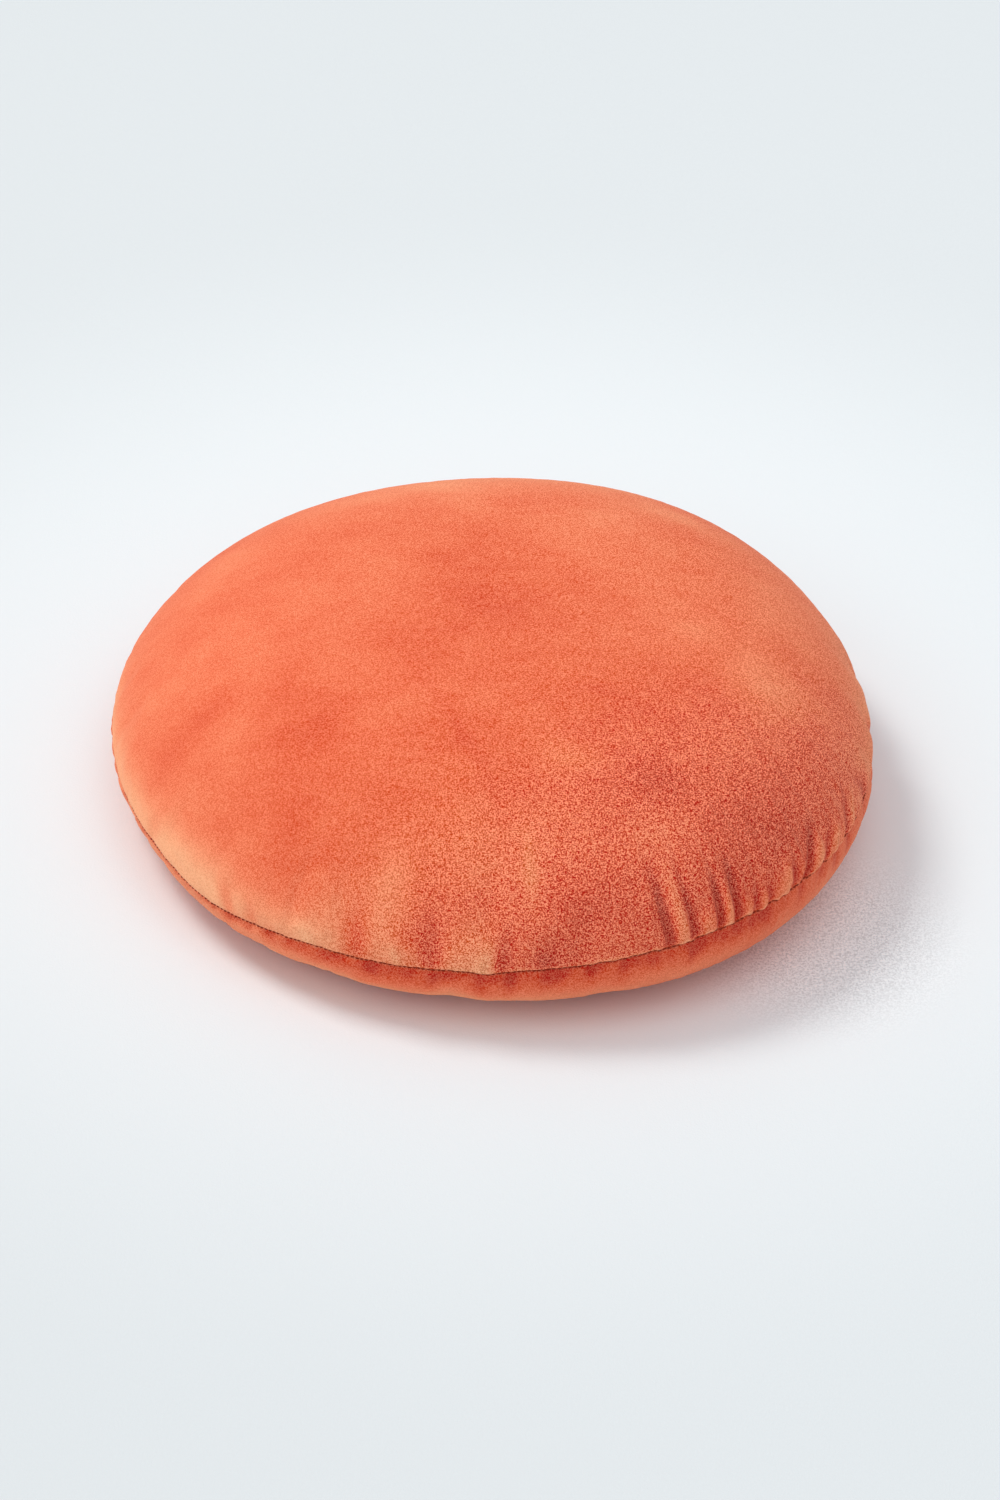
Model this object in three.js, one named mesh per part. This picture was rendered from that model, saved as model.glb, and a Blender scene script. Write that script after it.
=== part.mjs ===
// Round velvet cushion: two discs of cloth sewn edge to edge, turned and filled, lying on its back panel.
// Millimetres, +Z up. The origin is on the surface, under the middle of the box. -Y is the front.
import * as THREE from "three";

// Driving sizes of the filled cushion.
const seamRadius = 200.8; // half of the width across the seam, before the stitching draws it in
const seamHeight = 40; // mean height of the seam over the surface
const crownHeight = 120.5; // highest point of the front panel
const restShare = 0.61; // share of the seam radius that lies flat on the surface
const crownDrift = { x: 7, y: 5 }; // how far the top of the crown lies off the middle

// The panels' profiles are superellipses: flatness keeps the middle level, fullness rounds the side out.
const profiles = {
  front: { flatness: 3.28, fullness: 1.39 },
  back: { flatness: 3.31, fullness: 2.07 },
};

// Slow waves of the seam round the cushion: swell moves it out and lift moves it up, most at the azimuths
// given.
const seamWaves = [
  { turns: 1, swell: 0, swellAt: 0, lift: 5.8, liftAt: -2 },
  { turns: 2, swell: 2.9, swellAt: -23, lift: 4.7, liftAt: -55 },
  { turns: 3, swell: 3.3, swellAt: 50, lift: 3.4, liftAt: -31 },
  { turns: 4, swell: 3.0, swellAt: -40, lift: 0, liftAt: 0 },
];

// Places where the stitching pulls the seam down, over a width in degrees, or lets it up where drop is
// negative.
const seamDips = [
  { at: 224, width: 10, drop: 4.5 },
  { at: 244, width: 3, drop: -0.7 },
  { at: 270, width: 2.2, drop: 1.6 },
  { at: 297, width: 2, drop: 0.9 },
  { at: 327, width: 3, drop: 0.8 },
];

// The stitching draws the seam in this deep, fading over this distance up and down the panels, and not
// at all past the end, so the flat spot stays flat. Folds set in over the first foldStart from the seam.
const seamTuck = { depth: 2.6, fade: 3.5, end: 40, foldStart: 1.6 };

// Folds of the front panel. at is the azimuth where a fold meets the seam, and lean how far it has turned at
// its far end, in degrees. width is across it, reach is up the panel, and depth is inwards, so a ridge's is
// negative.
const frontFolds = [
  { at: 209, width: 12, reach: 22, depth: 0.9, lean: 1 },
  { at: 229, width: 10, reach: 20, depth: 1.0, lean: -3.5 },
  { at: 233.5, width: 8, reach: 16, depth: 0.8, lean: -1.5 },
  { at: 243, width: 10, reach: 18, depth: -0.8, lean: -2 },
  { at: 250.5, width: 14, reach: 42, depth: 1.3, lean: -1.5 },
  { at: 257, width: 5, reach: 18, depth: -1.1, lean: -2 },
  { at: 262, width: 11, reach: 36, depth: 1.0, lean: -1.5 },
  { at: 269, width: 8, reach: 24, depth: -1.3, lean: 1 },
  { at: 272, width: 9, reach: 28, depth: 1.2, lean: 0.5 },
  { at: 278, width: 12, reach: 20, depth: 0.9, lean: 0 },
  { at: 287, width: 16, reach: 30, depth: -0.6, lean: 0 },
  { at: 295.4, width: 6, reach: 42, depth: 2.6, lean: -1.3 },
  { at: 297.6, width: 7, reach: 46, depth: -1.8, lean: -0.5 },
  { at: 299.3, width: 6, reach: 36, depth: 1.5, lean: -0.6 },
  { at: 301.6, width: 7, reach: 20, depth: -1.0, lean: 0 },
  { at: 303.6, width: 5, reach: 26, depth: 2.8, lean: 1 },
  { at: 305, width: 4.5, reach: 26, depth: -1.4, lean: 1 },
  { at: 306.4, width: 5, reach: 32, depth: 2.9, lean: 1 },
  { at: 309.5, width: 4, reach: 14, depth: 1.6, lean: 0.5 },
  { at: 312.3, width: 4, reach: 12, depth: 1.4, lean: 0 },
  { at: 314.8, width: 8, reach: 30, depth: -1.5, lean: 3 },
  { at: 317, width: 5, reach: 24, depth: 2.4, lean: 1 },
  { at: 319.6, width: 6, reach: 34, depth: 3.2, lean: 5 },
  { at: 322.3, width: 7, reach: 28, depth: -1.6, lean: 3 },
  { at: 324.4, width: 6, reach: 24, depth: 1.6, lean: 3.5 },
  { at: 327, width: 7, reach: 26, depth: -1.4, lean: 3.5 },
  { at: 331, width: 5, reach: 34, depth: 1.9, lean: 5 },
  { at: 333, width: 5, reach: 30, depth: -1.2, lean: 5 },
  { at: 341, width: 9, reach: 22, depth: 1.2, lean: 3 },
];

// Series of smaller folds: the far side of the front panel, and all round the back panel. Each value swings
// by so much about its middle value, at its own pace from fold to fold, so that no two folds are alike. The
// shift moves a fold by a share of the step between folds.
const farFolds = {
  count: 14,
  from: -14,
  spread: 190,
  shift: { about: 0, by: 0.3, pace: 2.4 },
  width: { about: 11, by: 3, pace: 1.7 },
  reach: { about: 25, by: 8, pace: 3.1 },
  depth: { about: 1.2, by: 0.5, pace: 2.1 },
  lean: { about: 0, by: 2, pace: 1.3 },
};
const backFolds = {
  count: 58,
  from: 0,
  spread: 360,
  shift: { about: 0, by: 0.28, pace: 2.9 },
  width: { about: 8, by: 2, pace: 1.9 },
  reach: { about: 17, by: 6, pace: 2.3 },
  depth: { about: 1.0, by: 0.5, pace: 3.7 },
  lean: { about: 0, by: 1.5, pace: 2.6 },
};

// Broad hollows of the back panel's side, where the filling stops short of the seam.
const backHollows = [
  { at: 212, width: 150, reach: 60, depth: 3.2, lean: 0 },
  { at: 329, width: 120, reach: 60, depth: 1.4, lean: 0 },
];

// Shallow hollows, and swells where depth is negative, that the filling leaves in the crown.
const crownDents = [
  { x: -70, y: -28, radius: 46, depth: 1.2 },
  { x: 22, y: -62, radius: 50, depth: -1.0 },
  { x: 84, y: 10, radius: 44, depth: 1.0 },
  { x: -8, y: 74, radius: 52, depth: 0.8 },
  { x: -120, y: 52, radius: 40, depth: 0.9 },
  { x: 118, y: -70, radius: 36, depth: -0.9 },
];

// The rings of points that the skin is built on, by their distance from the seam along the panel.
// A ring uses one in every skip of the rim's points, so the middle of a panel is coarser than its rim.
const rimPoints = 240;
const rimCrowd = { share: 0.6, azimuth: 312 }; // the points crowd towards the closest folds
const frontRings = [
  { skip: 1, runs: [2.5, 5.5, 9.5, 14.5, 20.5, 28, 37] },
  { skip: 2, runs: [48, 61, 76, 93] },
  { skip: 4, runs: [113, 136, 162, 190] },
];
const backRings = [
  { skip: 1, runs: [2.5, 5.5, 10, 16, 24] },
  { skip: 2, runs: [36, 52, 70] },
];
const flatEdgeSkip = 4; // the same for the edge of the flat spot

// How finely a profile is walked to find a distance along it, and the turn over which its slope is taken.
const walkSteps = 4000;
const slopeTurn = 0.004;

const velvet = { color: 0xe67857, roughness: 0.92, metalness: 0 };

const radians = THREE.MathUtils.degToRad;
const quarterTurn = Math.PI / 2;
const loop = (count, make) => Array.from({ length: count }, (_, index) => make(index));

// Degrees from one azimuth to another, the short way round.
function turnBetween(from, to) {
  return THREE.MathUtils.euclideanModulo(to - from + 180, 360) - 180;
}

// The folds of a series, each a little different from the next.
function foldSeries(series) {
  const step = series.spread / series.count;
  const swing = ({ about, by, pace }, index) => about + by * Math.sin(pace * index);
  return loop(series.count, (index) => ({
    at: series.from + step * (index + swing(series.shift, index)),
    width: swing(series.width, index),
    reach: swing(series.reach, index),
    depth: swing(series.depth, index),
    lean: swing(series.lean, index),
  }));
}

const folds = {
  front: [...frontFolds, ...foldSeries(farFolds)],
  back: [...backHollows, ...foldSeries(backFolds)],
};

// Radius and height of the seam at an azimuth, before it is drawn in.
function seamAt(azimuth) {
  let radius = seamRadius;
  let height = seamHeight;
  for (const wave of seamWaves) {
    radius += wave.swell * Math.cos(radians(wave.turns * (azimuth - wave.swellAt)));
    height += wave.lift * Math.cos(radians(wave.turns * (azimuth - wave.liftAt)));
  }
  for (const dip of seamDips) {
    height -= dip.drop * Math.exp(-((turnBetween(dip.at, azimuth) / dip.width) ** 2));
  }
  return { radius, height };
}

// A panel's superellipse, from its middle at turn 0 to the seam at a quarter turn, as shares of the radius
// and of the rise.
function profileAt(side, turn) {
  const { flatness, fullness } = profiles[side];
  return { out: Math.sin(turn) ** (2 / flatness), rise: Math.cos(turn) ** (2 / fullness) };
}

// Radius and height of a smooth panel. The back panel's profile starts at the edge of its flat spot.
function sectionAt(side, seam, turn) {
  const { out, rise } = profileAt(side, turn);
  if (side === "front") {
    return { radius: out * seam.radius, height: seam.height + (crownHeight - seam.height) * rise };
  }
  return { radius: (restShare + (1 - restShare) * out) * seam.radius, height: seam.height * (1 - rise) };
}

// The turn of the profile that lies a distance from the seam along the panel, by walking down the mean section.
function turnAtRun(side, run) {
  const mean = { radius: seamRadius, height: seamHeight };
  let walked = 0;
  let last = sectionAt(side, mean, quarterTurn);
  for (let step = 1; step <= walkSteps; step++) {
    const turn = quarterTurn * (1 - step / walkSteps);
    const next = sectionAt(side, mean, turn);
    walked += Math.hypot(next.radius - last.radius, next.height - last.height);
    if (walked >= run) return turn;
    last = next;
  }
  return 0;
}

// How far the folds press a panel in: a bell curve across a fold, easing to nothing at its reach.
function foldDepth(side, azimuth, run) {
  let depth = 0;
  for (const fold of folds[side]) {
    if (run >= fold.reach) continue;
    const along = run / fold.reach;
    const across = radians(turnBetween(fold.at + fold.lean * along, azimuth)) * seamRadius;
    depth += fold.depth * Math.exp(-((across / (fold.width / 2)) ** 2)) * (1 - along * along) ** 2;
  }
  return depth * (1 - Math.exp(-run / seamTuck.foldStart));
}

// How far the stitching draws the cloth in at a distance from the seam.
function tuckDepth(run) {
  return run < seamTuck.end ? seamTuck.depth * Math.exp(-run / seamTuck.fade) : 0;
}

// How far the uneven filling lets the crown in at a place.
function dentDepth(x, y) {
  let depth = 0;
  for (const dent of crownDents) {
    const away = Math.hypot(x - dent.x, y - dent.y) / dent.radius;
    depth += dent.depth * Math.exp(-away * away);
  }
  return depth;
}

// A point of the finished skin: the smooth section, pressed in square to itself by tuck, folds and dents.
function skinPoint(side, azimuth, turn, run) {
  const seam = seamAt(azimuth);
  const here = sectionAt(side, seam, turn);
  const inner = sectionAt(side, seam, Math.max(turn - slopeTurn, 0));
  const outer = sectionAt(side, seam, Math.min(turn + slopeTurn, quarterTurn));
  const along = new THREE.Vector2(outer.radius - inner.radius, outer.height - inner.height).normalize();
  const facing = side === "front" ? 1 : -1;
  const cos = Math.cos(radians(azimuth));
  const sin = Math.sin(radians(azimuth));
  const drift = side === "front" ? 1 - (here.radius / seam.radius) ** 2 : 0;
  const x = here.radius * cos + drift * crownDrift.x;
  const y = here.radius * sin + drift * crownDrift.y;
  const dent = side === "front" ? dentDepth(x, y) : 0;
  const press = tuckDepth(run) + foldDepth(side, azimuth, run) + dent;
  const outwards = -along.y * facing * press;
  return new THREE.Vector3(x - outwards * cos, y - outwards * sin, here.height - along.x * facing * press);
}

// Azimuth of each point of the rim, crowded towards the closest folds.
function rimAzimuths() {
  return loop(rimPoints, (index) => {
    const even = (360 * index) / rimPoints;
    const pull = THREE.MathUtils.radToDeg(rimCrowd.share);
    return even - pull * Math.sin(radians(even - rimCrowd.azimuth));
  });
}

// Builds the closed skin, ring by ring, as one geometry.
function cushionGeometry() {
  const points = [];
  const triangles = [];
  const azimuths = rimAzimuths();

  const addPoint = (point) => points.push(point) - 1;
  const addRing = (side, skip, turn, run) => {
    const used = azimuths.filter((_, index) => index % skip === 0);
    return used.map((azimuth) => addPoint(skinPoint(side, azimuth, turn, run)));
  };
  const addTriangle = (side, a, b, c) => triangles.push(...(side === "front" ? [a, b, c] : [a, c, b]));

  // Joins an outer ring to an inner one that has as many points, or one for every two.
  const bridge = (side, outer, inner) => {
    const step = outer.length / inner.length;
    inner.forEach((here, index) => {
      const next = inner[(index + 1) % inner.length];
      const start = index * step;
      for (let k = 0; k < step; k++) {
        addTriangle(side, here, outer[start + k], outer[(start + k + 1) % outer.length]);
      }
      addTriangle(side, here, outer[(start + step) % outer.length], next);
    });
  };
  const closeMiddle = (side, ring, middle) =>
    ring.forEach((here, index) => addTriangle(side, middle, here, ring[(index + 1) % ring.length]));

  const seam = addRing("front", 1, quarterTurn, 0);
  for (const [side, bands] of [
    ["front", frontRings],
    ["back", backRings],
  ]) {
    let outer = seam;
    for (const { skip, runs } of bands) {
      for (const run of runs) {
        const inner = addRing(side, skip, turnAtRun(side, run), run);
        bridge(side, outer, inner);
        outer = inner;
      }
    }
    if (side === "front") {
      closeMiddle(side, outer, addPoint(skinPoint(side, 0, 0, Infinity)));
    } else {
      const flatEdge = addRing(side, flatEdgeSkip, 0, Infinity);
      bridge(side, outer, flatEdge);
      closeMiddle(side, flatEdge, addPoint(new THREE.Vector3(0, 0, 0)));
    }
  }

  const geometry = new THREE.BufferGeometry().setFromPoints(points).setIndex(triangles);
  geometry.computeBoundingBox();
  const middle = geometry.boundingBox.getCenter(new THREE.Vector3());
  geometry.translate(-middle.x, -middle.y, 0);
  geometry.computeVertexNormals();
  return geometry;
}

const cushion = new THREE.Mesh(cushionGeometry(), new THREE.MeshStandardMaterial(velvet));
cushion.name = "cushion";

const part = new THREE.Group();
part.add(cushion);

export default part;
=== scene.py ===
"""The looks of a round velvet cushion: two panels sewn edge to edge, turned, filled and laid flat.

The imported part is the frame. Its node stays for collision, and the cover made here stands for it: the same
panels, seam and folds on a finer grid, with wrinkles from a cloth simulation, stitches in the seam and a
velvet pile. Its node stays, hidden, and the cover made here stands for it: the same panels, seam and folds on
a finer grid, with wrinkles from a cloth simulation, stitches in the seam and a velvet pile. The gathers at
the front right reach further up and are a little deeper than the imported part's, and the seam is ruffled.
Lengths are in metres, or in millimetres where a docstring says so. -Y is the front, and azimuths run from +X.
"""

import logging
import math
from dataclasses import dataclass, field
from enum import Enum
from typing import Any

import bmesh
import bpy
import numpy as np
from mathutils import Matrix, Vector

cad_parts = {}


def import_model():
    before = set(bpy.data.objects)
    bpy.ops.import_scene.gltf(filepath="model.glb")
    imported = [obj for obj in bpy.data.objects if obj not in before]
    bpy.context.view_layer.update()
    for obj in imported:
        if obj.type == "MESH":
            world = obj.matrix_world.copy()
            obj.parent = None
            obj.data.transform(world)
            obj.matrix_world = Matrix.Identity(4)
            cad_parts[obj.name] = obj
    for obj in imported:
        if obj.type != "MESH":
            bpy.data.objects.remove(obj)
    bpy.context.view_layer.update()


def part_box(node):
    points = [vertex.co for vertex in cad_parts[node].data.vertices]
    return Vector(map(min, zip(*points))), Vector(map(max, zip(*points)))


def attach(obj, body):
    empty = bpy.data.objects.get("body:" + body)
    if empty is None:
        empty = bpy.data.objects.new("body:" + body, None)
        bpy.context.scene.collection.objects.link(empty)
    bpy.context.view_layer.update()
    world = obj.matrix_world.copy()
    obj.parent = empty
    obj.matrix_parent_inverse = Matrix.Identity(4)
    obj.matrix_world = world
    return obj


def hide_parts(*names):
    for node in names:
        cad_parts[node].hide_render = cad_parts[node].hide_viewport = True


log = logging.getLogger("cushion")

MM = 0.001
NODE = "cushion"
BODY = "root"

Colour = tuple[float, float, float]
Place = tuple[float, float, float]
Tree = bpy.types.NodeTree


class Side(Enum):
    """The two panels: the front one is on top, and the cushion lies on the back one."""

    FRONT = 1
    BACK = -1


# The shape of the cover


@dataclass(frozen=True)
class Profile:
    """A panel's section, a superellipse: flatness keeps its middle level, fullness rounds its side out."""

    flatness: float
    fullness: float

    def shares(self, turn: np.ndarray) -> tuple[np.ndarray, np.ndarray]:
        """Works out sin(turn) ** (2 / flatness) and cos(turn) ** (2 / fullness).

        Args:
            turn: Angle along the section, from 0 at its middle to a quarter turn at the seam.

        Returns:
            The shares of the full radius and of the full rise.
        """
        out = np.clip(np.sin(turn), 0, 1) ** (2 / self.flatness)
        rise = np.clip(np.cos(turn), 0, 1) ** (2 / self.fullness)
        return out, rise


@dataclass(frozen=True)
class SeamWave:
    """A slow wave of the seam round the cushion, in millimetres, largest at azimuths in degrees."""

    turns: int
    swell: float
    swell_at: float
    lift: float
    lift_at: float


@dataclass(frozen=True)
class SeamDip:
    """A place where the stitching pulls the seam down, in millimetres, over a width in degrees."""

    at: float
    width: float
    drop: float


@dataclass(frozen=True)
class SeamRuffle:
    """The small wobble of the gathered seam, in millimetres, widest at an azimuth in degrees."""

    at: float
    width: float
    least: float
    most: float
    turns: tuple[int, ...]

    def lift(self, azimuth: np.ndarray) -> np.ndarray:
        """Works out the mean of a sine for each of the turns, times least + (most - least) * a bell curve.

        Args:
            azimuth: Degrees from +X.

        Returns:
            How far the seam is moved up.
        """
        height = self.least + (self.most - self.least) * bell(turn_between(self.at, azimuth), self.width)
        waves = sum(np.sin(np.radians(count * azimuth) + ahead) for ahead, count in enumerate(self.turns))
        return height * waves / len(self.turns)


@dataclass(frozen=True)
class Fold:
    """A fold of a panel, in degrees and millimetres. A ridge's depth is negative.

    It meets the seam at an azimuth and has turned by its lean at its far end. It is a bell curve across its
    width, and eases to nothing at its reach up the panel.
    """

    at: float
    width: float
    reach: float
    depth: float
    lean: float


@dataclass(frozen=True)
class FoldSeries:
    """Smaller folds at uneven steps. Each pair is a middle value and a swing about it, in Fold's units."""

    count: int
    start: float
    spread: float
    width: tuple[float, float]
    reach: tuple[float, float]
    depth: tuple[float, float]
    lean: tuple[float, float]
    seed: int
    unevenness: float = 0.4

    def folds(self) -> list[Fold]:
        """Throws each value off its middle by a seeded random share of its swing.

        Returns:
            The folds, in the order of their azimuths.
        """
        chance = np.random.default_rng(self.seed)
        step = self.spread / self.count
        made = []
        for index in range(self.count):
            at = self.start + step * (index + chance.uniform(-self.unevenness, self.unevenness))
            width, reach, depth, lean = (
                middle + swing * chance.uniform(-1, 1)
                for middle, swing in (self.width, self.reach, self.depth, self.lean)
            )
            made.append(Fold(at, width, reach, depth, lean))
        return made


@dataclass(frozen=True)
class Dent:
    """A shallow hollow of the crown, in millimetres, as a round bell curve. A swell's depth is negative."""

    x: float
    y: float
    radius: float
    depth: float


# The folds that show along the front edge, from left to right: at, width, reach, depth, lean.
FRONT_FOLDS = [
    Fold(209.0, 12, 22, 0.9, 1.0),
    Fold(229.0, 10, 20, 1.0, -3.5),
    Fold(233.5, 8, 16, 0.8, -1.5),
    Fold(243.0, 10, 18, -0.8, -2.0),
    Fold(250.5, 14, 42, 1.0, -1.5),
    Fold(257.0, 5, 18, -1.1, -2.0),
    Fold(262.0, 11, 36, 1.0, -1.5),
    Fold(269.0, 8, 24, -1.3, 1.0),
    Fold(272.0, 9, 28, 1.2, 0.5),
    Fold(278.0, 12, 20, 0.9, 0.0),
    Fold(287.0, 16, 30, -0.6, 0.0),
    Fold(296.0, 4.5, 54, 3.1, -1.8),
    Fold(297.9, 7, 60, -2.1, -1.4),
    Fold(299.6, 5, 50, 1.8, -1.2),
    Fold(301.6, 7, 20, -1.0, 0.0),
    Fold(303.6, 4.2, 38, 3.5, 0.2),
    Fold(305.0, 4.5, 42, -1.6, 0.4),
    Fold(306.4, 4.2, 46, 3.6, 0.4),
    Fold(309.5, 4, 22, 1.8, 0.5),
    Fold(312.3, 4, 20, 1.7, 0.0),
    Fold(314.8, 8, 30, -1.5, 3.0),
    Fold(317.0, 5, 24, 2.4, 1.0),
    Fold(319.6, 6, 34, 3.2, 5.0),
    Fold(322.3, 7, 28, -1.6, 3.0),
    Fold(324.4, 6, 24, 1.6, 3.5),
    Fold(327.0, 7, 26, -1.4, 3.5),
    Fold(331.0, 5, 34, 1.9, 5.0),
    Fold(333.0, 5, 30, -1.2, 5.0),
    Fold(341.0, 9, 22, 1.2, 3.0),
]
SEAM_RUFFLE = SeamRuffle(314.0, 22.0, least=0.4, most=1.3, turns=(67, 97, 151, 223))

# Ridges between the closest gathers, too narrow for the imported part's points.
FINE_RIDGES = [
    Fold(308.1, 3.0, 15, -1.1, 0.5),
    Fold(310.9, 3.2, 13, -1.2, 0.3),
    Fold(313.6, 2.8, 10, -0.9, 0.3),
    Fold(301.0, 3.0, 11, -0.8, 0.0),
    Fold(325.6, 3.2, 15, -1.0, 1.5),
    Fold(329.2, 3.0, 12, -0.9, 1.5),
]

# Broad hollows of the back panel's side, where the filling stops short of the seam.
BACK_HOLLOWS = [Fold(212.0, 150, 60, 3.2, 0.0), Fold(329.0, 120, 60, 1.4, 0.0)]

# Smaller folds, and the puckers along the seam.
FAR_FOLDS = FoldSeries(14, -14, 190, (11, 3), (25, 8), (1.2, 0.5), (0, 2), seed=3)
BACK_FOLDS = FoldSeries(58, 0, 360, (8, 2), (17, 6), (1.0, 0.5), (0, 1.5), seed=5)
SEAM_PUCKERS = FoldSeries(150, 0, 360, (3.4, 1.0), (6, 2.5), (0.32, 0.2), (0, 0.5), seed=8)
CLOSE_PUCKERS = FoldSeries(34, 292, 56, (3.0, 0.8), (8, 3.5), (0.8, 0.5), (0.4, 0.8), seed=13)
UNDER_PUCKERS = FoldSeries(62, 202, 112, (5.5, 2.0), (9, 3.5), (0.75, 0.4), (0, 1.0), seed=21)

CROWN_DENTS = [
    Dent(-70, -28, 46, 1.2),
    Dent(22, -62, 50, -1.0),
    Dent(84, 10, 44, 1.0),
    Dent(-8, 74, 52, 0.8),
    Dent(-120, 52, 40, 0.9),
    Dent(118, -70, 36, -0.9),
]
SEAM_WAVES = [
    SeamWave(1, 0.0, 0, 5.8, -2),
    SeamWave(2, 2.9, -23, 4.7, -55),
    SeamWave(3, 3.3, 50, 3.4, -31),
    SeamWave(4, 3.0, -40, 0.0, 0),
]
SEAM_DIPS = [
    SeamDip(224.0, 10.0, 4.5),
    SeamDip(244.0, 3.0, -0.7),
    SeamDip(270.0, 2.2, 1.6),
    SeamDip(297.0, 2.0, 0.9),
    SeamDip(327.0, 3.0, 0.8),
]


@dataclass(frozen=True)
class CoverShape:
    """The cover's surface as formulas, in millimetres, before it is fitted to the frame's box."""

    seam_radius: float = 200.8
    seam_height: float = 40.0
    crown_height: float = 120.5
    rest_share: float = 0.61
    crown_drift: tuple[float, float] = (7, 5)
    front: Profile = Profile(flatness=3.28, fullness=1.39)
    back: Profile = Profile(flatness=3.31, fullness=2.07)
    tuck_depth: float = 2.6
    tuck_fade: float = 3.5
    crease_depth: float = 0.6
    crease_fade: float = 0.6
    fold_start: float = 1.6
    turns: int = 4000
    slope_turn: float = 0.004

    def profile(self, side: Side) -> Profile:
        """Returns the section of a panel."""
        return self.front if side is Side.FRONT else self.back

    def seam(self, azimuth: np.ndarray) -> tuple[np.ndarray, np.ndarray]:
        """Adds the slow waves, the dips as bell curves and the ruffle to the seam's mean radius and height.

        Args:
            azimuth: Degrees from +X.

        Returns:
            The radius and the height of the seam before it is drawn in.
        """
        radius = np.full_like(azimuth, self.seam_radius)
        height = np.full_like(azimuth, self.seam_height)
        for wave in SEAM_WAVES:
            radius += wave.swell * np.cos(np.radians(wave.turns * (azimuth - wave.swell_at)))
            height += wave.lift * np.cos(np.radians(wave.turns * (azimuth - wave.lift_at)))
        for dip in SEAM_DIPS:
            height -= dip.drop * bell(turn_between(dip.at, azimuth), dip.width)
        return radius, height + SEAM_RUFFLE.lift(azimuth)

    def section(
        self, side: Side, seam_radius: float | np.ndarray, seam_height: float | np.ndarray, turn: np.ndarray
    ) -> tuple[np.ndarray, np.ndarray]:
        """Scales the superellipse to the seam. The back panel's starts at the edge of its flat spot.

        Args:
            side: The panel.
            seam_radius: The seam's radius.
            seam_height: The seam's height.
            turn: Angle along the section, as in Profile.

        Returns:
            The radius and the height of the smooth panel.
        """
        out, rise = self.profile(side).shares(turn)
        if side is Side.FRONT:
            return out * seam_radius, seam_height + (self.crown_height - seam_height) * rise
        return (self.rest_share + (1 - self.rest_share) * out) * seam_radius, seam_height * (1 - rise)

    def walk(self, side: Side) -> tuple[np.ndarray, np.ndarray]:
        """Walks along the mean section from the seam, adding up the lengths of its short chords.

        Args:
            side: The panel.

        Returns:
            Distances from the seam, and the turn at each.
        """
        turn = np.linspace(math.pi / 2, 0, self.turns)
        radius, height = self.section(side, self.seam_radius, self.seam_height, turn)
        chords = np.hypot(np.diff(radius), np.diff(height))
        return np.concatenate([[0.0], np.cumsum(chords)]), turn

    def length(self, side: Side) -> float:
        """Returns the distance from the seam to the panel's middle, over the back panel's flat spot."""
        curved = self.walk(side)[0][-1]
        return curved if side is Side.FRONT else curved + self.rest_share * self.seam_radius

    def fold_depth(self, folds: list[Fold], azimuth: np.ndarray, run: np.ndarray) -> np.ndarray:
        """Adds up depth * exp(-(across / half width) ** 2) * (1 - (run / reach) ** 2) ** 2 over the folds.

        Args:
            folds: The folds of a panel.
            azimuth: Degrees from +X.
            run: Distance from the seam.

        Returns:
            How far the folds press the panel in, from nothing at the seam itself.
        """
        depth = np.zeros_like(run)
        for fold in folds:
            along = np.clip(run / fold.reach, 0, 1)
            across = np.radians(turn_between(fold.at + fold.lean * along, azimuth)) * self.seam_radius
            depth += fold.depth * bell(across, fold.width / 2) * (1 - along**2) ** 2
        return depth * (1 - np.exp(-run / self.fold_start))

    def surface(
        self, side: Side, azimuth: np.ndarray, run: np.ndarray, folds: list[Fold]
    ) -> tuple[np.ndarray, np.ndarray, np.ndarray]:
        """Places points on a panel, pressed in square to its section by tuck, crease, folds and dents.

        Args:
            side: The panel.
            azimuth: Degrees from +X.
            run: Distance from the seam.
            folds: The folds of this panel.

        Returns:
            The points, the outward directions that they were pressed along, and how far the folds press
            them in.
        """
        distances, turns = self.walk(side)
        turn = np.interp(run, distances, turns)
        seam = self.seam(azimuth)
        radius, height = self.section(side, *seam, turn)
        inner = self.section(side, *seam, np.clip(turn - self.slope_turn, 0, None))
        outer = self.section(side, *seam, np.clip(turn + self.slope_turn, None, math.pi / 2))
        along = np.stack([outer[0] - inner[0], outer[1] - inner[1]], axis=-1)
        along /= np.linalg.norm(along, axis=-1, keepdims=True)
        out = -side.value * along[..., 1]
        up = side.value * along[..., 0]

        flat = np.clip((run - distances[-1]) / (self.rest_share * self.seam_radius), 0, 1)
        radius = radius * (1 - flat)
        cos, sin = np.cos(np.radians(azimuth)), np.sin(np.radians(azimuth))
        drift = np.zeros_like(radius) if side is Side.BACK else 1 - (radius / seam[0]) ** 2
        x = radius * cos + drift * self.crown_drift[0]
        y = radius * sin + drift * self.crown_drift[1]

        folded = self.fold_depth(folds, azimuth, run)
        press = folded + self.tuck_depth * np.exp(-run / self.tuck_fade)
        press += self.crease_depth * np.exp(-run / self.crease_fade)
        if side is Side.FRONT:
            press += dent_depth(x, y)
        else:
            press += self.fold_depth(BACK_HOLLOWS, azimuth, run)
            press[run >= distances[-1]] = 0
        outward = np.stack([out * cos, out * sin, up], axis=-1)
        points = np.stack([x, y, height], axis=-1) - outward * press[..., None]
        return points, outward, folded


def turn_between(start: float | np.ndarray, azimuth: np.ndarray) -> np.ndarray:
    """Returns the degrees from one azimuth to another, the short way round."""
    return (azimuth - start + 180) % 360 - 180


def bell(distance: np.ndarray, width: float) -> np.ndarray:
    """Returns exp(-(distance / width) ** 2)."""
    return np.exp(-((distance / width) ** 2))


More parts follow.
